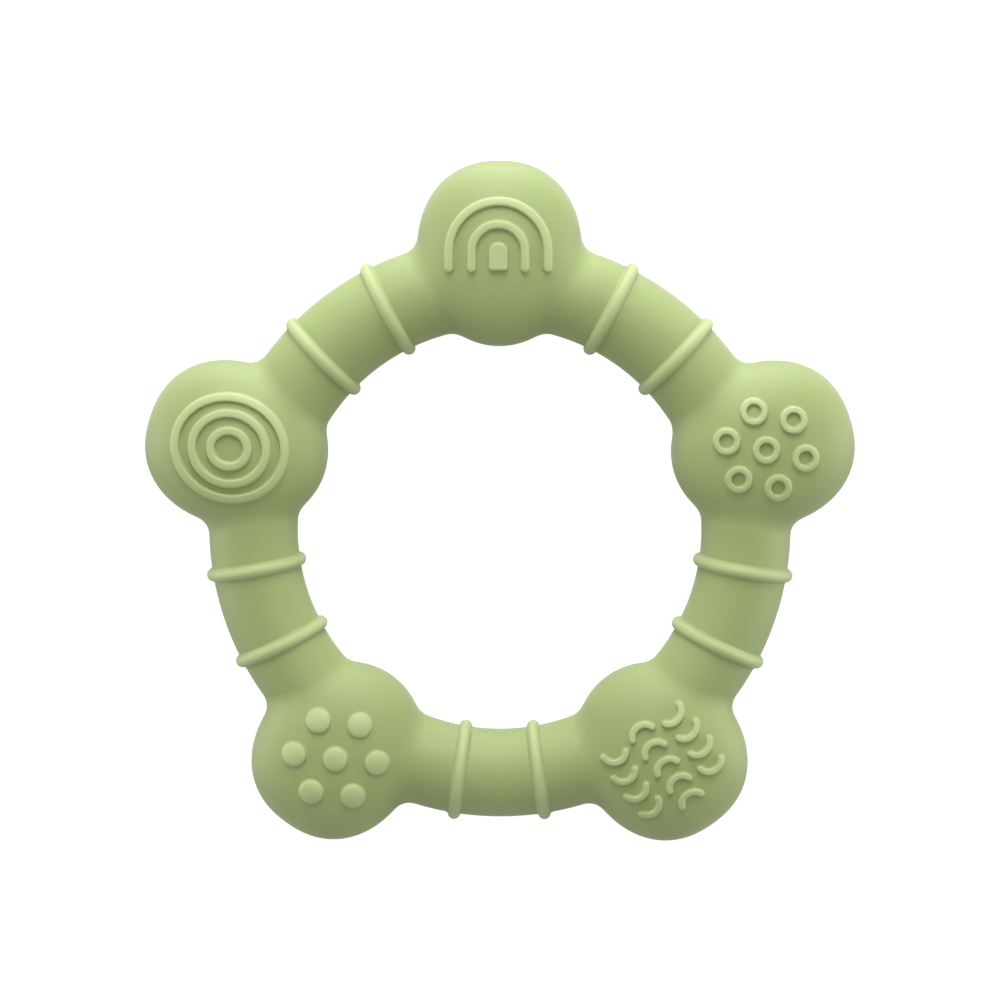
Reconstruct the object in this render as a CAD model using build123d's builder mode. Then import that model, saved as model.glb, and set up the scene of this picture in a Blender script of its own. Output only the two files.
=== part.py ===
from build123d import *
from math import cos, hypot, radians, sin
import os

# A one-piece moulded silicone teething ring, lying flat. The origin is the centre of the ring on
# its mid-plane, +Z is the ring's axis, and +Y runs out through the lobe that carries the rainbow.
# The moulding is divided into named regions that meet face to face: five pillow-shaped lobes, the
# five tube links between them, two grip ribs round each link, and the raised patterns on both faces.

# ---- Driving dimensions, in millimetres and degrees ----
ring_radius = 35.7              # ring axis to the centreline of the tube
tube_radius = 6.4
lobe_names = ["rainbow", "circles", "dots", "waves", "rings"]      # counterclockwise from +Y
lobe_pitch = 360 / len(lobe_names)

lobe_radius = 39.85             # ring axis to the centre of a lobe
lobe_half_width = 11.8          # along the ring, and the radius of both round ends
lobe_straight = 2.8             # outwards, between the centres of the two round ends
lobe_half_thickness = 8.7
lobe_fullness = 2.5             # exponent of the dome's superellipse: 2 is a plain ellipse
lobe_sector = 43                # the part of the ring that a lobe region takes, tube stubs included
junction_fillet = 2.0           # where a lobe runs into the tube

rib_angle = 9.3                 # each rib stands this far round from the middle of its link
rib_lean = 1.6                  # and is turned this far from radial, nearer to parallel with its twin
rib_bead_radius = 0.9           # round a centre on the tube's surface
rib_cut_sector = 10             # the length of tube that is cut away from under a bead

relief_height = 0.85            # raised lines above the dome
relief_edge = 0.3               # rounding along the top edges of the rainbow and the circles
fine_relief_edge = 0.2          # and of the small rings and the waves
line_width = 1.25               # rainbow and circles

arch_centre = 40.25             # ring axis to the centre of the rainbow's arches
arch_leg = 2.35                 # straight part of an arch, from its end to its half circle
arch_radii = {"outer_arch": 6.95, "inner_arch": 3.75}
tab_foot = 37.5                 # ring axis to the flat end of the tab that stands under the arches
tab_width = 2.8
tab_length = 4.0

circle_centre = 40.15
circle_half_widths = {"outer": 7.2, "middle": 5.0, "inner": 2.55}      # along the ring
circle_half_lengths = {"outer": 7.9, "middle": 5.3, "inner": 2.65}     # outwards

cluster_count = 6               # small rings and dots stand in a hexagon about a middle one
small_ring_centre = 39.8
small_ring_spacing = 5.7
small_ring_radius = 1.46        # centreline of a small ring
small_ring_width = 0.9
dot_centre = 39.75
dot_spacing = 6.0
dot_radius = 1.8
dot_height = 1.0

wave_radius = 1.8               # centreline of a wave's arc
wave_width = 0.9
wave_sweep = 138
wave_pitch = 3.02
wave_count = 5                  # in the middle column; each side column has one fewer
wave_centre = 40.45
wave_rise = 1.25                # from the middle of a wave's height to its arc's centre
side_offsets = [4.85, 5.4, 5.55, 5.5]     # from the middle column to each side wave, inside to outside
side_leans = [18, 10, 2, -11]   # how far each side wave leans away from the middle, inside to outside

crown = lobe_half_thickness + relief_height + dot_height           # above everything raised

lobe_angles = {name: 90 + index * lobe_pitch for index, name in enumerate(lobe_names)}

os.makedirs("parts", exist_ok=True)


def radial_plane(angle):
    """The upright plane through the ring's axis: x runs outwards and y runs up."""
    outwards = Vector(cos(radians(angle)), sin(radians(angle)), 0)
    return Plane(origin=(0, 0, 0), x_dir=outwards, z_dir=outwards.cross(Vector(0, 0, 1)))


def lobe_plane(angle):
    """The flat mid-plane as a lobe sees it: x runs clockwise round the ring and y outwards."""
    clockwise = Vector(sin(radians(angle)), -cos(radians(angle)), 0)
    return Plane(origin=(0, 0, 0), x_dir=clockwise, z_dir=(0, 0, 1))


def finish(piece, name):
    """Labels a finished piece and writes it."""
    piece.label = name
    export_step(piece, f"parts/{name}.step")


def make_pillow(grow=0):
    """A lobe without its tube: a superellipse section, drawn straight and turned round at both ends."""
    half_width = lobe_half_width + grow
    half_thickness = lobe_half_thickness + grow
    power = 2 / lobe_fullness
    quarter = [radians(t) for t in (0, 15, 30, 45, 60, 75, 90)]
    dome = [(half_width * sin(t) ** power, half_thickness * cos(t) ** power) for t in quarter]
    with BuildSketch() as half_section:
        with BuildLine():
            Spline(*dome, tangents=[(1, 0), (0, -1)])
            Line((half_width, 0), (0, 0))
            Line((0, 0), (0, half_thickness))
        make_face()
    with BuildPart() as whole_pillow:
        with BuildSketch(Plane.XZ):
            add(half_section.sketch)
            mirror(about=Plane.YZ)
        extrude(amount=lobe_straight / 2, both=True)
        for end in (1, -1):
            with BuildSketch(Plane.XZ.offset(-end * lobe_straight / 2)):
                add(half_section.sketch)
            revolve(axis=Axis((0, end * lobe_straight / 2, 0), (0, 0, 1)), revolution_arc=end * 180)
        mirror(about=Plane.XY)
    return whole_pillow.part


def cluster(centre, spacing, first_angle):
    """Where the members of a cluster stand: one in the middle and six about it."""
    turns = [radians(first_angle + k * 360 / cluster_count) for k in range(cluster_count)]
    return [(0, centre)] + [(spacing * cos(t), centre + spacing * sin(t)) for t in turns]


def dome_height(x, y):
    """The height of the dome above the mid-plane, x and y from the lobe's centre."""
    reach = hypot(x, max(abs(y) - lobe_straight / 2, 0)) / lobe_half_width
    return lobe_half_thickness * (1 - reach**lobe_fullness) ** (1 / lobe_fullness)


pillow = make_pillow()
raised_pillow = make_pillow(relief_height)

# ---- Lobes: a pillow on a short length of tube, filleted where they meet ----
for name, angle in lobe_angles.items():
    with BuildPart(lobe_plane(angle)) as lobe:
        with BuildSketch(radial_plane(angle - lobe_sector / 2)):
            with Locations((ring_radius, 0)):
                Circle(tube_radius)
        revolve(axis=Axis.Z, revolution_arc=lobe_sector)
        with Locations((0, lobe_radius, 0)):
            add(pillow)
        fillet(lobe.edges(Select.NEW).filter_by(GeomType.BSPLINE), junction_fillet)
    finish(lobe.part, f"lobe_{name}")

# ---- Links: the plain tube between two lobes ----
link_sector = lobe_pitch - lobe_sector
for name, following in zip(lobe_names, lobe_names[1:] + lobe_names[:1]):
    middle = lobe_angles[name] + lobe_pitch / 2
    with BuildPart() as link:
        with BuildSketch(radial_plane(middle - link_sector / 2)):
            with Locations((ring_radius, 0)):
                Circle(tube_radius)
        revolve(axis=Axis.Z, revolution_arc=link_sector)
    finish(link.part, f"link_{name}_{following}")

    # ---- Grip ribs: a round bead that circles the tube, sunk into it a little ----
    for number, side in enumerate((-1, 1), start=1):
        angle = middle + side * rib_angle
        centre = radial_plane(angle).from_local_coords((ring_radius, 0))
        with BuildPart(Plane(origin=centre, z_dir=radial_plane(angle - side * rib_lean).z_dir)) as rib:
            Torus(tube_radius, rib_bead_radius)
            with BuildSketch(radial_plane(angle - rib_cut_sector / 2)):
                with Locations((ring_radius, 0)):
                    Circle(tube_radius)
            revolve(axis=Axis.Z, revolution_arc=rib_cut_sector, mode=Mode.SUBTRACT)
        finish(rib.part, f"rib_{name}_{following}_{number}")


# ---- Raised patterns: flat outlines, drawn as the lobe sees them, that rise out of the dome ----
def arch_pattern(radius):
    """An upside-down U of one line width with round ends."""
    foot = arch_centre - arch_leg
    with BuildSketch() as pattern:
        with BuildLine(mode=Mode.PRIVATE) as path:
            Line((-radius, foot), (-radius, arch_centre))
            ThreePointArc((-radius, arch_centre), (0, arch_centre + radius), (radius, arch_centre))
            Line((radius, arch_centre), (radius, foot))
        SlotArc(path.wire(), line_width)
    return pattern.sketch


def tab_pattern():
    """The short upright tab: a half round on a straight body."""
    shoulder = tab_foot + tab_length - tab_width / 2
    with BuildSketch() as pattern:
        with Locations((0, tab_foot)):
            Rectangle(tab_width, shoulder - tab_foot, align=(Align.CENTER, Align.MIN))
        fillet(pattern.vertices().group_by(Axis.Y)[0], tab_width / 6)
        with Locations((0, shoulder)):
            Circle(tab_width / 2)
    return pattern.sketch


def circle_pattern(half_width, half_length):
    """One closed line, slightly longer outwards than along the ring."""
    with BuildSketch() as pattern:
        with Locations((0, circle_centre)):
            for edge, mode in ((line_width / 2, Mode.ADD), (-line_width / 2, Mode.SUBTRACT)):
                Ellipse(half_width + edge, half_length + edge, mode=mode)
    return pattern.sketch


def small_ring_pattern():
    """One small ring in the middle and six about it."""
    with BuildSketch() as pattern:
        with Locations(*cluster(small_ring_centre, small_ring_spacing, 0)):
            Circle(small_ring_radius + small_ring_width / 2)
            Circle(small_ring_radius - small_ring_width / 2, mode=Mode.SUBTRACT)
    return pattern.sketch


def wave_pattern():
    """Short arcs in three columns: the middle ones open outwards and the side ones inwards."""
    arcs = []
    for row in range(wave_count):
        height = wave_centre + wave_rise + (row - (wave_count - 1) / 2) * wave_pitch
        arcs.append((0, height, 270))
    for row, (offset, lean) in enumerate(zip(side_offsets, side_leans)):
        height = wave_centre - wave_rise + (row - (wave_count - 2) / 2) * wave_pitch
        arcs += [(side * offset, height, 90 - side * lean) for side in (-1, 1)]
    with BuildSketch() as pattern:
        for x, y, facing in arcs:
            with BuildLine(mode=Mode.PRIVATE) as path:
                CenterArc((x, y), wave_radius, facing - wave_sweep / 2, wave_sweep)
            SlotArc(path.wire(), wave_width)
    return pattern.sketch


def raise_from_dome(pattern, angle, edge_radius):
    """Pushes an outline up through the lobe's dome and keeps what stands above it."""
    with BuildPart(lobe_plane(angle)) as raised:
        with BuildSketch(lobe_plane(angle)):
            add(pattern)
        extrude(amount=crown)
        with Locations((0, lobe_radius, 0)):
            add(raised_pillow, mode=Mode.INTERSECT)
            add(pillow, mode=Mode.SUBTRACT)
        walls = raised.faces().filter_by(lambda face: abs(face.normal_at().Z) < 0.05).edges()
        tops = raised.faces().filter_by(lambda face: face.normal_at().Z > 0.3).edges()
        fillet([edge for edge in walls if edge in tops], edge_radius)
    return raised.part


def raise_tab(angle):
    """The tab is flat on top, level with the top of the lines about it."""
    with BuildPart(lobe_plane(angle)) as tab:
        with BuildSketch(lobe_plane(angle)):
            add(tab_pattern())
        extrude(amount=lobe_half_thickness + relief_height)
        with Locations((0, lobe_radius, 0)):
            add(pillow, mode=Mode.SUBTRACT)
        fillet(tab.faces().sort_by(Axis.Z)[-1].edges(), relief_edge)
    return tab.part


def raise_dots(angle):
    """Round domes: balls sunk into the lobe so far that only their tops stand out."""
    ball_radius = (dot_radius**2 + dot_height**2) / (2 * dot_height)
    places = cluster(dot_centre, dot_spacing, 30)
    with BuildPart(lobe_plane(angle)) as dots:
        with Locations(*[(x, y, dome_height(x, y - lobe_radius) + dot_height - ball_radius)
                         for x, y in places]):
            Sphere(ball_radius)
        with Locations((0, lobe_radius, 0)):
            add(pillow, mode=Mode.SUBTRACT)
    return dots.part


raised = {}
for name, radius in arch_radii.items():
    raised[f"rainbow_{name}"] = raise_from_dome(arch_pattern(radius), lobe_angles["rainbow"], relief_edge)
raised["rainbow_tab"] = raise_tab(lobe_angles["rainbow"])
for name, half_width in circle_half_widths.items():
    pattern = circle_pattern(half_width, circle_half_lengths[name])
    raised[f"circles_{name}"] = raise_from_dome(pattern, lobe_angles["circles"], relief_edge)
raised["dots"] = raise_dots(lobe_angles["dots"])
raised["waves"] = raise_from_dome(wave_pattern(), lobe_angles["waves"], fine_relief_edge)
raised["rings"] = raise_from_dome(small_ring_pattern(), lobe_angles["rings"], fine_relief_edge)

# The two faces carry the same patterns.
for name, front in raised.items():
    with BuildPart() as back:
        mirror(front, about=Plane.XY)
    finish(front, f"front_{name}")
    finish(back.part, f"back_{name}")
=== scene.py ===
from math import cos, pi, radians, sin

import bmesh
import bpy
import numpy as np
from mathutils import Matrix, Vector


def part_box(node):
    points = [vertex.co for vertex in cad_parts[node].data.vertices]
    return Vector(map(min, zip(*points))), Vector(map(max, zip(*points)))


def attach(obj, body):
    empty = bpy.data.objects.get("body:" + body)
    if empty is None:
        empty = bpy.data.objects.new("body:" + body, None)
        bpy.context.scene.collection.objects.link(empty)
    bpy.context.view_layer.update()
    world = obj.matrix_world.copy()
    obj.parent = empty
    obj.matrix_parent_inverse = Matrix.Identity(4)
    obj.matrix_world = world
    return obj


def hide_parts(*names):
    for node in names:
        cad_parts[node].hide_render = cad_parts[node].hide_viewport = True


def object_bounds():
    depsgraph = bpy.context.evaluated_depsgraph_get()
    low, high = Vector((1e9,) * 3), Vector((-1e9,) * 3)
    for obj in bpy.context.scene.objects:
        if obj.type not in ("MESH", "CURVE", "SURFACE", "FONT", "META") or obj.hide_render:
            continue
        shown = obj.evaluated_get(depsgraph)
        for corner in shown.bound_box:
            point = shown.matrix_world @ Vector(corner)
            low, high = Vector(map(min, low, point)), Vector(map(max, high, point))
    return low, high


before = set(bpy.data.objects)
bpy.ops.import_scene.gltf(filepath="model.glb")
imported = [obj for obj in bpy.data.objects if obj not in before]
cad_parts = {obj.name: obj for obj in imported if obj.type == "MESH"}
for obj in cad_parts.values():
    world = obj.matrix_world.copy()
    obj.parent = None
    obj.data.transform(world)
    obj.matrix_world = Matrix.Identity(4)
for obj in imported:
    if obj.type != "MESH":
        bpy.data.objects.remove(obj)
cad_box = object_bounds()

# ---- Sizes, in metres and radians. The large ones are read from the frame ----
MM = 0.001
low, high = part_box("link_dots_waves")
TUBE_RADIUS = high.z
RING_RADIUS = -low.y - TUBE_RADIUS
low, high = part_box("lobe_rainbow")
LOBE_CENTRE = (high.y + low.y) / 2              # ring axis to the middle of a lobe
LOBE_LENGTH = (high.y - low.y) / 2              # half of it, outwards
LOBE_WIDTH = 11.85 * MM                         # half of it, along the ring
LOBE_THICKNESS = high.z                         # half of it
OUTER_FULLNESS, INNER_FULLNESS = 2.25, 2.0      # exponents of the lobe's outline: 2 is an ellipse
DOME_FULLNESS = 2.5                             # exponent of the lobe's section
BLEND_OUTSIDE, BLEND_INSIDE = 2.0 * MM, 1.1 * MM    # how far lobe and tube run into each other

LOBES = ["rainbow", "circles", "dots", "waves", "rings"]
PITCH = 2 * pi / len(LOBES)
LOBE_ANGLES = {name: pi / 2 + k * PITCH for k, name in enumerate(LOBES)}
LOBE_SECTOR = radians(43)
SECTION_ROWS, LINK_CUTS = 96, 60                # how finely lobes and links are meshed
LOBE_CUTS = [(0, 11, 28), (11, 19.5, 72), (19.5, 21.5, 5)]  # (from, to, how many), in degrees off the axis
RIB_ANGLE = radians(9.3)                        # from the middle of a link to each rib
RIB_LEAN = radians(1.6)                         # turned from radial, nearer to parallel with its twin
RIB_BEAD, RIB_FLARE = 0.9 * MM, 0.35 * MM

CLOSE_ROWS = [0, 0.5, 1, 1.6, 2.6]              # rows beside the parting line, in parting widths
PARTING_HEIGHT, PARTING_WIDTH = 0.045 * MM, 0.09 * MM
DEEPEST, FARTHEST = 3 * MM, 22 * MM             # the skin lies between these, from the tube's centreline
HIGHEST = 12 * MM                               # and below this, from the mid-plane
MERGE_WITHIN, DEGENERATE_BELOW = 0.001 * MM, 0.0001 * MM
SHARP_ANGLE = radians(50)
SINK = 0.3 * MM                                 # how deep a raised piece reaches into its lobe

LINE_HEIGHT = 0.7 * MM
BURIED_FLARE = 0.7                              # share of the root fillet kept beneath the surface
FULL_GLOW_FROM = 0.6                                 # share of its height from which a raised shape is palest, its painted glow at full strength
LINE_WIDTH = 1.2 * MM
LINE_FULLNESS = 3.3                             # exponent of a raised line's section: 2 is round
LINE_FLARE, LINE_SHOULDER = 0.34, 0.3           # root fillet and upright edge, as shares of the height
ARCH_CENTRE, ARCH_LEG = 40.25 * MM, 2.35 * MM
ARCH_RADII = {"outer_arch": 6.95 * MM, "inner_arch": 3.75 * MM}
TAB_FOOT, TAB_WIDTH, TAB_LENGTH = 37.58 * MM, 2.64 * MM, 3.84 * MM
TAB_EDGE = 0.34 * MM
CIRCLE_CENTRE = 40.15 * MM
CIRCLE_RADII = {"outer": (7.2 * MM, 7.9 * MM), "middle": (5.0 * MM, 5.3 * MM),
                "inner": (2.55 * MM, 2.65 * MM)}
RING_CENTRE, RING_SPACING = 39.8 * MM, 5.7 * MM
SMALL_RING, FINE_WIDTH = 1.46 * MM, 0.9 * MM
DOT_CENTRE, DOT_SPACING = 39.75 * MM, 6.0 * MM
DOT_RADIUS, DOT_HEIGHT = 1.74 * MM, 0.85 * MM
DOT_FULLNESS, DOT_FLARE = 2.05, 0.28 * MM
WAVE_RADIUS, WAVE_SWEEP, WAVE_PITCH = 1.8 * MM, radians(138), 3.02 * MM
WAVE_CENTRE, WAVE_RISE = 40.45 * MM, 1.25 * MM
WAVE_COUNT = 5
SIDE_OFFSETS = [offset * MM for offset in (4.85, 5.4, 5.55, 5.5)]
SIDE_LEANS = [radians(lean) for lean in (18, 10, 2, -11)]


# ---- The skin: where the moulding's surface lies ----
def tube_distance(across, out, up):
    """Distance outside the tube, from a point in a lobe's own axes."""
    return np.hypot(np.hypot(across, out) - RING_RADIUS, up) - TUBE_RADIUS


def lobe_distance(across, out, up):
    """Roughly the distance outside a lobe: a full oval outline with a domed section."""
    from_centre = out - LOBE_CENTRE
    fullness = np.where(from_centre > 0, OUTER_FULLNESS, INNER_FULLNESS)
    sideways = np.abs(across / LOBE_WIDTH) ** fullness
    endways = np.abs(from_centre / LOBE_LENGTH) ** fullness
    outline = (sideways + endways) ** (1 / fullness)
    reach = (outline**DOME_FULLNESS + np.abs(up / LOBE_THICKNESS) ** DOME_FULLNESS) ** (1 / DOME_FULLNESS)
    from_middle = np.sqrt(across**2 + from_centre**2 + up**2)
    return from_middle * (1 - 1 / np.maximum(reach, 1e-6))


def skin_distance(across, out, up):
    """Negative inside the moulding. Lobe and tube run into each other over a soft fillet."""
    tube, lobe = tube_distance(across, out, up), lobe_distance(across, out, up)
    radial = np.hypot(across, out) - RING_RADIUS
    outwards = np.clip(0.5 + 0.5 * radial / TUBE_RADIUS, 0, 1) ** 2
    blend = BLEND_INSIDE + (BLEND_OUTSIDE - BLEND_INSIDE) * outwards
    overlap = np.clip(blend - np.abs(tube - lobe), 0, None) / blend
    return np.minimum(tube, lobe) - overlap**2 * blend / 4


def find_surface(distance_at, inside, outside):
    """Halves the span between a point inside and one outside until it closes on the surface."""
    halvings = 26
    for _ in range(halvings):
        middle = (inside + outside) / 2
        within = distance_at(middle) < 0
        inside, outside = np.where(within, middle, inside), np.where(within, outside, middle)
    return (inside + outside) / 2


def skin_reach(theta, phi):
    """How far the surface lies from the tube's centreline, at ring angle theta off a lobe's axis."""
    def distance_at(reach):
        radial = RING_RADIUS + reach * np.cos(phi)
        return skin_distance(radial * np.sin(theta), radial * np.cos(theta), reach * np.sin(phi))
    return find_surface(distance_at, np.full(phi.shape, DEEPEST), np.full(phi.shape, FARTHEST))


def skin_height(across, out):
    """How high the surface lies above the mid-plane, over a point in a lobe's own axes."""
    return find_surface(lambda up: skin_distance(across, out, up), np.zeros(np.shape(across)),
                        np.full(np.shape(across), HIGHEST))


# ---- Mesh building ----
def make_piece(name, points, faces, painted_glow, nodes):
    """A finished piece of silicone that rides on the ring and stands for its CAD nodes."""
    mesh = bpy.data.meshes.new(name)
    mesh.from_pydata([tuple(p) for p in points], [], faces)
    # The point attribute carries the share of painted glow: lighter colour in place of light let through
    # thin raised silicone.
    mesh.attributes.new("painted_glow", "FLOAT", "POINT").data.foreach_set("value", np.asarray(painted_glow, np.float32))
    work = bmesh.new()
    work.from_mesh(mesh)
    bmesh.ops.remove_doubles(work, verts=work.verts, dist=MERGE_WITHIN)
    bmesh.ops.dissolve_degenerate(work, edges=work.edges, dist=DEGENERATE_BELOW)
    bmesh.ops.recalc_face_normals(work, faces=work.faces)
    work.to_mesh(mesh)
    work.free()
    mesh.shade_smooth()
    mesh.set_sharp_from_angle(angle=SHARP_ANGLE)
    piece = bpy.data.objects.new(name, mesh)
    bpy.context.scene.collection.objects.link(piece)
    piece.data.materials.append(silicone)
    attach(piece, "root")
    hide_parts(*nodes)


def loop_faces(loops, count, closed=False):
    """Quads between neighbouring loops of count points each; closed joins the last loop to the first."""
    faces = []
    for k in range(loops if closed else loops - 1):
        a, b = k * count, (k + 1) % loops * count
        faces += [(a + i, a + (i + 1) % count, b + (i + 1) % count, b + i) for i in range(count)]
    return faces


def turn(points, angle):
    """From a lobe's own axes, across clockwise and out, to the ring's."""
    across, out, up = points[..., 0], points[..., 1], points[..., 2]
    x = across * sin(angle) + out * cos(angle)
    y = -across * cos(angle) + out * sin(angle)
    return np.stack([x, y, up], -1)


# ---- Lobes and links: closed lengths of the skin ----
def section_angles(theta):
    """Where the skin's rows lie round the tube: crowded at the parting line, even elsewhere."""
    close = np.array(CLOSE_ROWS) * PARTING_WIDTH
    outer = np.arcsin(close / skin_reach(theta, np.zeros_like(theta))[:, None])
    inner = pi - np.arcsin(close / skin_reach(theta, np.full_like(theta, pi))[:, None])
    even = np.linspace(0, 1, SECTION_ROWS)[None, 1:-1]
    upper = outer[:, -1:] + (inner[:, -1:] - outer[:, -1:]) * even
    half = np.concatenate([outer, upper, inner[:, ::-1]], 1)
    return np.concatenate([half, 2 * pi - half[:, -2:0:-1]], 1)


def skin_piece(name, angle, thetas, node):
    """A length of the ring between two radial cuts, with flat ends."""
    phi = section_angles(thetas)
    theta = np.broadcast_to(thetas[:, None], phi.shape)
    reach = skin_reach(theta, phi)
    reach = reach + PARTING_HEIGHT * np.exp(-((reach * np.sin(phi) / PARTING_WIDTH) ** 2))
    radial = RING_RADIUS + reach * np.cos(phi)
    skin = np.stack([radial * np.sin(theta), radial * np.cos(theta), reach * np.sin(phi)], -1)
    points = turn(skin, angle)
    loops, around = phi.shape
    faces = loop_faces(loops, around)
    flat = points.reshape(-1, 3)
    ends = [np.array([RING_RADIUS * sin(t), RING_RADIUS * cos(t), 0]) for t in (thetas[0], thetas[-1])]
    flat = np.concatenate([flat, turn(np.array(ends), angle)])
    for centre, start in ((len(flat) - 2, 0), (len(flat) - 1, (loops - 1) * around)):
        faces += [(start + i, start + (i + 1) % around, centre) for i in range(around)]
    make_piece(name, flat, faces, np.zeros(len(flat)), [node])


def build_lobe(name, angle):
    """Rows lie closer where the lobe's side falls steeply to the tube."""
    stretches = [np.linspace(start, stop, cuts) for start, stop, cuts in LOBE_CUTS]
    half = np.radians(np.concatenate([stretches[0][:-1], stretches[1][:-1], stretches[2]]))
    half *= LOBE_SECTOR / 2 / half[-1]
    thetas = np.concatenate([-half[:0:-1], half])
    skin_piece(f"{name}_lobe", angle, thetas, f"lobe_{name}")


def build_link(name, following, angle):
    """The plain tube; thetas are measured from the lobe before it, counterclockwise."""
    thetas = -np.linspace(LOBE_SECTOR / 2, PITCH - LOBE_SECTOR / 2, LINK_CUTS)
    skin_piece(f"{name}_{following}_link", angle, thetas, f"link_{name}_{following}")


# ---- Ribs: a bead with small root fillets, carried round the tube ----
def rib_profile():
    """(along, up) points over one rib, from one root to the other, closed beneath the surface."""
    start = np.arcsin(RIB_FLARE / (RIB_BEAD + RIB_FLARE))
    bead = np.linspace(start, pi - start, 23)
    root = (RIB_BEAD + RIB_FLARE) * cos(start)
    curve = np.linspace(pi / 2, start, 8)
    flare = [(root - RIB_FLARE * cos(t), RIB_FLARE - RIB_FLARE * sin(t)) for t in curve]
    over = flare[:-1] + [(RIB_BEAD * cos(t), RIB_BEAD * sin(t)) for t in bead]
    over += [(-x, y) for x, y in reversed(flare[:-1])]
    return np.array([(root, -SINK)] + over + [(-root, -SINK)])


def build_rib(name, following, number, angle, lean):
    """The rib's plane is turned by lean about the upright line through the tube's centre."""
    profile = rib_profile()
    around = np.linspace(0, 2 * pi, 145)[:-1]
    centre = np.array([RING_RADIUS * cos(angle), RING_RADIUS * sin(angle), 0])
    out = np.array([cos(angle + lean), sin(angle + lean), 0])
    along = np.array([-sin(angle + lean), cos(angle + lean), 0])
    circle = np.cos(around)[:, None] * out + np.sin(around)[:, None] * np.array([0, 0, 1])
    rows = [centre + (TUBE_RADIUS + up) * circle + shift * along for shift, up in profile]
    points = np.array(rows).reshape(-1, 3)
    # The bead is painted lighter towards its crown, a painted glow in place of light let through it.
    painted_glow = np.repeat(np.clip(profile[:, 1] / RIB_BEAD, 0, 1), len(around))
    faces = loop_faces(len(profile), len(around), closed=True)
    rib = f"{name}_{following}_rib_{number}"
    make_piece(rib, points, faces, painted_glow, [f"rib_{name}_{following}_{number}"])


# ---- Raised patterns ----
def rounded(width, height, fullness, steps):
    """A quarter of a full ellipse, from its side to its top."""
    turns = np.linspace(0, pi / 2, steps)
    power = 2 / fullness
    side = [(width * cos(t) ** power, height * sin(t) ** power) for t in turns[:-1]]
    return side + [(0, height)]


def root_fillet(half_width, flare):
    """(from the middle, up) points of the concave quarter round at a raised shape's root."""
    return [(half_width + flare * (1 - sin(t)), flare * (1 - cos(t))) for t in np.linspace(0, pi / 2, 5)]


def line_profile(half_width, height):
    """(from the line's middle, up) points, from beneath the surface over the edge to the top."""
    flare = LINE_FLARE * height
    foot = root_fillet(half_width, flare)
    shoulder = LINE_SHOULDER * height
    over = [(x, shoulder + up) for x, up in rounded(half_width, height - shoulder, LINE_FULLNESS, 12)]
    return np.array([(0, -SINK), (half_width + BURIED_FLARE * flare, -SINK)] + foot + over)


def raised_points(flat, up, face, angle, level=None):
    """Stands points up from the skin: flat holds (across, out) and up their heights above it.

    A level, if given, is the height above the mid-plane at which the tops lie flat.
    """
    across, out = flat[..., 0], flat[..., 1]
    height = skin_height(across, out) + up
    if level is not None:
        level_from, level_over = 0.1, 0.5
        share = np.clip((up / LINE_HEIGHT - level_from) / level_over, 0, 1)
        height = height * (1 - share) + (level - LINE_HEIGHT + up) * share
    return turn(np.stack([across, out, face * height], -1), angle)


def contour(path, distance):
    """A closed loop round an open path, at one distance from it, with half-round ends."""
    along = np.gradient(path, axis=0)
    along /= np.linalg.norm(along, axis=1)[:, None]
    side = np.stack([-along[:, 1], along[:, 0]], -1)
    sweep = np.linspace(0, pi, 15)[1:-1, None]
    last = path[-1] + distance * (np.cos(sweep) * side[-1] + np.sin(sweep) * along[-1])
    first = path[0] - distance * (np.cos(sweep) * side[0] + np.sin(sweep) * along[0])
    return np.concatenate([path + distance * side, last, (path - distance * side)[::-1], first])


def assemble(parts):
    """Joins several (points, faces, rise) lists into one."""
    points, faces, painted_glows = [], [], []
    for part_points, part_faces, part_painted_glow in parts:
        start = sum(len(p) for p in points)
        points.append(part_points)
        faces += [tuple(start + i for i in face) for face in part_faces]
        painted_glows.append(part_painted_glow)
    return np.concatenate(points), faces, np.concatenate(painted_glows)


def stack_loops(loops, profile, height, face, angle, level=None, closed=False):
    """Turns flat loops, one for each profile point, into a raised solid."""
    flat = np.array(loops)
    up = np.repeat(profile[:, 1], flat.shape[1]).reshape(flat.shape[:2])
    points = raised_points(flat, up, face, angle, level).reshape(-1, 3)
    # Painted glow: the colour lightens with height, in place of light let through the thin silicone, fully
    # from the set share of the height.
    painted_glow = np.clip(up / (FULL_GLOW_FROM * height), 0, 1).reshape(-1)
    return points, loop_faces(len(flat), flat.shape[1], closed), painted_glow


def open_line(path, half_width, face, angle):
    profile = line_profile(half_width, LINE_HEIGHT)
    return stack_loops([contour(path, d) for d, _ in profile], profile, LINE_HEIGHT, face, angle)


def closed_line(centre, half_size, half_width, face, angle, steps):
    profile = line_profile(half_width, LINE_HEIGHT)
    both = np.concatenate([profile, profile[-2:0:-1] * (-1, 1)])
    around = np.linspace(0, 2 * pi, steps + 1)[:-1]
    loops = [np.stack([centre[0] + (half_size[0] + d) * np.cos(around),
                       centre[1] + (half_size[1] + d) * np.sin(around)], -1) for d, _ in both]
    return stack_loops(loops, both, LINE_HEIGHT, face, angle, closed=True)


def dome(centre, radius, height, face, angle):
    foot = root_fillet(radius, DOT_FLARE)[:-1]
    cap = [(x, DOT_FLARE + up) for x, up in rounded(radius, height - DOT_FLARE, DOT_FULLNESS, 16)]
    profile = np.array([(0, -SINK), (radius + BURIED_FLARE * DOT_FLARE, -SINK)] + foot + cap)
    around = np.linspace(0, 2 * pi, 49)[:-1]
    ring = np.stack([np.cos(around), np.sin(around)], -1)
    loops = [np.array(centre) + d * ring for d, _ in profile]
    return stack_loops(loops, profile, height, face, angle)


def cluster(centre, spacing, first):
    """A middle place and six about it."""
    turns = first + np.arange(6) * pi / 3
    return [(0, centre)] + [(spacing * cos(t), centre + spacing * sin(t)) for t in turns]


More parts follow.
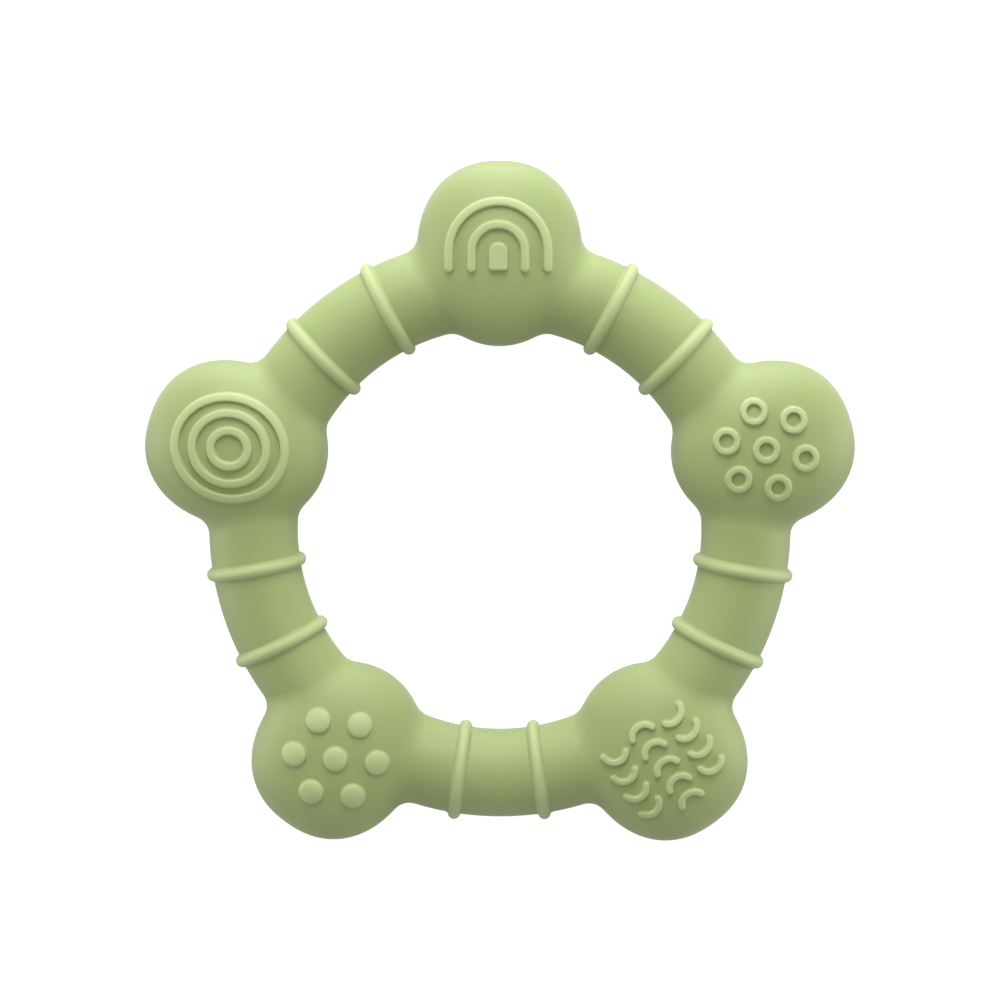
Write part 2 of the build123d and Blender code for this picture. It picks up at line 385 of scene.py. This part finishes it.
def arch_path(radius):
    """Up one leg, over the half circle and down the other."""
    foot = ARCH_CENTRE - ARCH_LEG
    leg = np.linspace(foot, ARCH_CENTRE, 16)[:-1]
    sweep = np.linspace(pi, 0, 73)
    over = np.stack([radius * np.cos(sweep), ARCH_CENTRE + radius * np.sin(sweep)], -1)
    left = np.stack([np.full_like(leg, -radius), leg], -1)
    right = np.stack([np.full_like(leg, radius), leg[::-1]], -1)
    return np.concatenate([left, over, right])


def tab_outline(inset):
    """The tab's edge moved inwards: a half round on top and small rounded corners below."""
    half = TAB_WIDTH / 2 - inset
    shoulder = TAB_FOOT + TAB_LENGTH - TAB_WIDTH / 2
    corner = max(TAB_WIDTH / 6 - inset, 0.05 * MM)
    bottom = TAB_FOOT + inset
    top = [(half * cos(t), shoulder + half * sin(t)) for t in np.linspace(0, pi, 33)]
    left = [(-half, y) for y in np.linspace(shoulder, bottom + corner, 9)[1:-1]]
    turns = np.linspace(0, pi / 2, 9)
    low_left = [(-half + corner - corner * cos(t), bottom + corner - corner * sin(t)) for t in turns]
    base = [(x, bottom) for x in np.linspace(-half + corner, half - corner, 9)[1:-1]]
    low_right = [(half - corner + corner * sin(t), bottom + corner - corner * cos(t)) for t in turns]
    right = [(half, y) for y in np.linspace(bottom + corner, shoulder, 9)[1:-1]]
    return np.array(top + left + low_left + base + low_right + right)


def tab(face, angle):
    """Rounded along its edge and flat on top."""
    profile = line_profile(TAB_EDGE, LINE_HEIGHT)[1:]
    loops = [tab_outline(TAB_EDGE - d) for d, _ in profile]
    middle = loops[-1].mean(0)
    inner = [middle + (loops[-1] - middle) * share for share in (0.66, 0.33, 0)]
    beneath = np.broadcast_to(middle, loops[0].shape)
    profile = np.concatenate([[profile[0]], profile, [(0, LINE_HEIGHT)] * 3])
    level = LOBE_THICKNESS + LINE_HEIGHT
    return stack_loops([beneath] + loops + inner, profile, LINE_HEIGHT, face, angle, level)


def wave_paths():
    """Short arcs: the middle column opens outwards, the side columns inwards."""
    arcs = [(0, WAVE_CENTRE + WAVE_RISE + (row - (WAVE_COUNT - 1) / 2) * WAVE_PITCH, -pi / 2)
            for row in range(WAVE_COUNT)]
    for row, (offset, lean) in enumerate(zip(SIDE_OFFSETS, SIDE_LEANS)):
        out = WAVE_CENTRE - WAVE_RISE + (row - (WAVE_COUNT - 2) / 2) * WAVE_PITCH
        arcs += [(side * offset, out, pi / 2 - side * lean) for side in (-1, 1)]
    sweep = np.linspace(-WAVE_SWEEP / 2, WAVE_SWEEP / 2, 31)
    return [np.stack([x + WAVE_RADIUS * np.cos(facing + sweep),
                      y + WAVE_RADIUS * np.sin(facing + sweep)], -1) for x, y, facing in arcs]


def build_patterns(side, face):
    """Every raised pattern on one face of the ring."""
    def build(name, parts):
        make_piece(f"{name}_{side}", *assemble(parts), [f"{side}_{name}"])

    angle = LOBE_ANGLES["rainbow"]
    for name, radius in ARCH_RADII.items():
        build(f"rainbow_{name}", [open_line(arch_path(radius), LINE_WIDTH / 2, face, angle)])
    build("rainbow_tab", [tab(face, angle)])
    angle = LOBE_ANGLES["circles"]
    for name, half_size in CIRCLE_RADII.items():
        oval = closed_line((0, CIRCLE_CENTRE), half_size, LINE_WIDTH / 2, face, angle, steps=180)
        build(f"circles_{name}", [oval])
    angle = LOBE_ANGLES["dots"]
    build("dots", [dome(place, DOT_RADIUS, DOT_HEIGHT, face, angle)
                   for place in cluster(DOT_CENTRE, DOT_SPACING, pi / 6)])
    angle = LOBE_ANGLES["waves"]
    build("waves", [open_line(path, FINE_WIDTH / 2, face, angle) for path in wave_paths()])
    angle = LOBE_ANGLES["rings"]
    build("rings", [closed_line(place, (SMALL_RING, SMALL_RING), FINE_WIDTH / 2, face, angle, steps=60)
                    for place in cluster(RING_CENTRE, RING_SPACING, 0)])


# ---- Material ----
BODY_COLOUR = [(0.345, 0.435, 0.158, 1), (0.360, 0.450, 0.170, 1)]     # darkest and lightest
# Painted glow: raised lines, dots, the tab and the ribs get this lighter colour in place of light that the
# thin silicone lets through, not a lighter material.
PAINTED_GLOW_COLOUR = (0.485, 0.585, 0.262, 1)
SATIN_ROUGHNESS = (0.5, 0.62)
CLOUD_SCALE, GRAIN_SCALE = 60, 4000             # per metre
GRAIN_STRENGTH, GRAIN_DEPTH = 0.12, 0.02 * MM


def silicone_material():
    """Satin moulded silicone, with a painted glow: lighter where it stands up in thin lines, in place of
    light let through the thin silicone.
    """
    material = bpy.data.materials.new("silicone")
    material.use_nodes = True
    nodes, links = material.node_tree.nodes, material.node_tree.links
    shader = nodes["Principled BSDF"]
    shader.inputs["Specular IOR Level"].default_value = 0.5
    shader.inputs["Sheen Weight"].default_value = 0.28
    shader.inputs["Sheen Roughness"].default_value = 0.5

    place = nodes.new("ShaderNodeTexCoord").outputs["Object"]
    clouds = nodes.new("ShaderNodeTexNoise")
    clouds.inputs["Scale"].default_value = CLOUD_SCALE
    clouds.inputs["Detail"].default_value = 3
    links.new(place, clouds.inputs["Vector"])

    body = nodes.new("ShaderNodeMix")
    body.data_type = "RGBA"
    body.inputs["A"].default_value = BODY_COLOUR[0]
    body.inputs["B"].default_value = BODY_COLOUR[1]
    links.new(clouds.outputs["Fac"], body.inputs["Factor"])
    # Painted glow: the point attribute mixes in the lighter colour towards the top of raised shapes.
    painted_glow = nodes.new("ShaderNodeAttribute")
    painted_glow.attribute_name = "painted_glow"
    raised = nodes.new("ShaderNodeMix")
    raised.data_type = "RGBA"
    raised.inputs["B"].default_value = PAINTED_GLOW_COLOUR
    links.new(painted_glow.outputs["Fac"], raised.inputs["Factor"])
    links.new(body.outputs["Result"], raised.inputs["A"])
    links.new(raised.outputs["Result"], shader.inputs["Base Color"])

    satin = nodes.new("ShaderNodeMapRange")
    satin.inputs["To Min"].default_value = SATIN_ROUGHNESS[0]
    satin.inputs["To Max"].default_value = SATIN_ROUGHNESS[1]
    links.new(clouds.outputs["Fac"], satin.inputs["Value"])
    links.new(satin.outputs["Result"], shader.inputs["Roughness"])

    grain = nodes.new("ShaderNodeTexNoise")
    grain.inputs["Scale"].default_value = GRAIN_SCALE
    grain.inputs["Detail"].default_value = 2
    links.new(place, grain.inputs["Vector"])
    bump = nodes.new("ShaderNodeBump")
    bump.inputs["Strength"].default_value = GRAIN_STRENGTH
    bump.inputs["Distance"].default_value = GRAIN_DEPTH
    links.new(grain.outputs["Fac"], bump.inputs["Height"])
    links.new(bump.outputs["Normal"], shader.inputs["Normal"])
    return material


silicone = silicone_material()

for name, angle in LOBE_ANGLES.items():
    build_lobe(name, angle)
for name, following in zip(LOBES, LOBES[1:] + LOBES[:1]):
    build_link(name, following, LOBE_ANGLES[name])
    for number, side in enumerate((-1, 1), start=1):
        angle = LOBE_ANGLES[name] + PITCH / 2 + side * RIB_ANGLE
        build_rib(name, following, number, angle, -side * RIB_LEAN)
build_patterns("front", 1)
build_patterns("back", -1)


# ---- Floor, light and camera ----
STAGE_REACH, STAGE_GREY = 3, 0.3
FLOOR_GLOW, BACKDROP_GLOW = 0.93, 1
SOFTBOX_SIZE, SOFTBOX_DISTANCE = 0.3, 0.5
WORLD_STRENGTH = 0.4
# Azimuth (0 stands beyond the rainbow, clockwise), elevation, power in watts
SOFTBOXES = {
    "key": (0, radians(25), 1.4),
    "overhead": (0, radians(50), 0.75),
    "rim": (0, radians(-15), 1.3),
    "left": (pi * 1.5, 0, 0.8),
    "right": (pi / 2, 0, 1.0),
    "fill": (pi, 0, 0.15),
}
TILT, YAW = radians(6), radians(1)              # of the camera, off the vertical
CAMERA_DISTANCE, VIEW_WIDTH = 0.406, 0.145
SHIFT_X, SHIFT_Y = 0.0004, 0.0299               # centres the ring's outline in the picture


def glowing_material(name, strength):
    """Pale and matt, lit from behind like a light table."""
    material = bpy.data.materials.new(name)
    material.use_nodes = True
    shader = material.node_tree.nodes["Principled BSDF"]
    shader.inputs["Base Color"].default_value = (STAGE_GREY, STAGE_GREY, STAGE_GREY, 1)
    shader.inputs["Roughness"].default_value = 0.9
    shader.inputs["Emission Color"].default_value = (1, 1, 1, 1)
    shader.inputs["Emission Strength"].default_value = strength
    return material


def stage_piece(name, mesh_maker, strength):
    """Scenery that the camera sees, and that sends no light back to the ring."""
    work = bmesh.new()
    mesh_maker(work)
    mesh = bpy.data.meshes.new(name)
    work.to_mesh(mesh)
    work.free()
    mesh.materials.append(glowing_material(name, strength))
    scenery = bpy.data.objects.new(name, mesh)
    scenery.visible_diffuse = False
    scenery.visible_glossy = False
    scenery.visible_shadow = False
    bpy.context.scene.collection.objects.link(scenery)
    return scenery


def build_stage():
    """A round floor that the ring lies on, and a ball round everything."""
    def disc(work):
        bmesh.ops.create_circle(work, cap_ends=True, segments=64, radius=STAGE_REACH)

    def ball(work):
        bmesh.ops.create_icosphere(work, subdivisions=4, radius=STAGE_REACH)

    floor = stage_piece("floor", disc, FLOOR_GLOW)
    floor.location.z = cad_box[0][2]
    stage_piece("backdrop", ball, BACKDROP_GLOW)


def softbox(name, azimuth, elevation, power):
    """A square light that faces the middle of the ring."""
    light = bpy.data.lights.new(name, "AREA")
    light.shape = "SQUARE"
    light.size = SOFTBOX_SIZE
    light.energy = power
    lamp = bpy.data.objects.new(name, light)
    direction = Vector((sin(azimuth) * cos(elevation), cos(azimuth) * cos(elevation), sin(elevation)))
    lamp.location = direction * SOFTBOX_DISTANCE
    lamp.rotation_euler = (-direction).to_track_quat("-Z", "Y").to_euler()
    bpy.context.scene.collection.objects.link(lamp)


def build_camera():
    """Above the ring and a little towards the rainbow, looking at its middle."""
    sensor = 36
    camera = bpy.data.cameras.new("camera")
    camera.sensor_width = sensor
    camera.lens = sensor * CAMERA_DISTANCE / VIEW_WIDTH
    camera.shift_x = SHIFT_X
    camera.shift_y = SHIFT_Y
    stand = bpy.data.objects.new("camera", camera)
    direction = Vector((sin(YAW), sin(TILT), cos(TILT))).normalized()
    stand.location = direction * CAMERA_DISTANCE
    stand.rotation_euler = (-TILT, YAW, 0)
    bpy.context.scene.collection.objects.link(stand)
    bpy.context.scene.camera = stand


build_stage()
for name, (azimuth, elevation, power) in SOFTBOXES.items():
    softbox(name, azimuth, elevation, power)
build_camera()

world = bpy.data.worlds.new("studio")
bpy.context.scene.world = world
world.use_nodes = True
world.node_tree.nodes["Background"].inputs["Color"].default_value = (1, 1, 1, 1)
world.node_tree.nodes["Background"].inputs["Strength"].default_value = WORLD_STRENGTH
bpy.context.scene.view_settings.view_transform = "Standard"
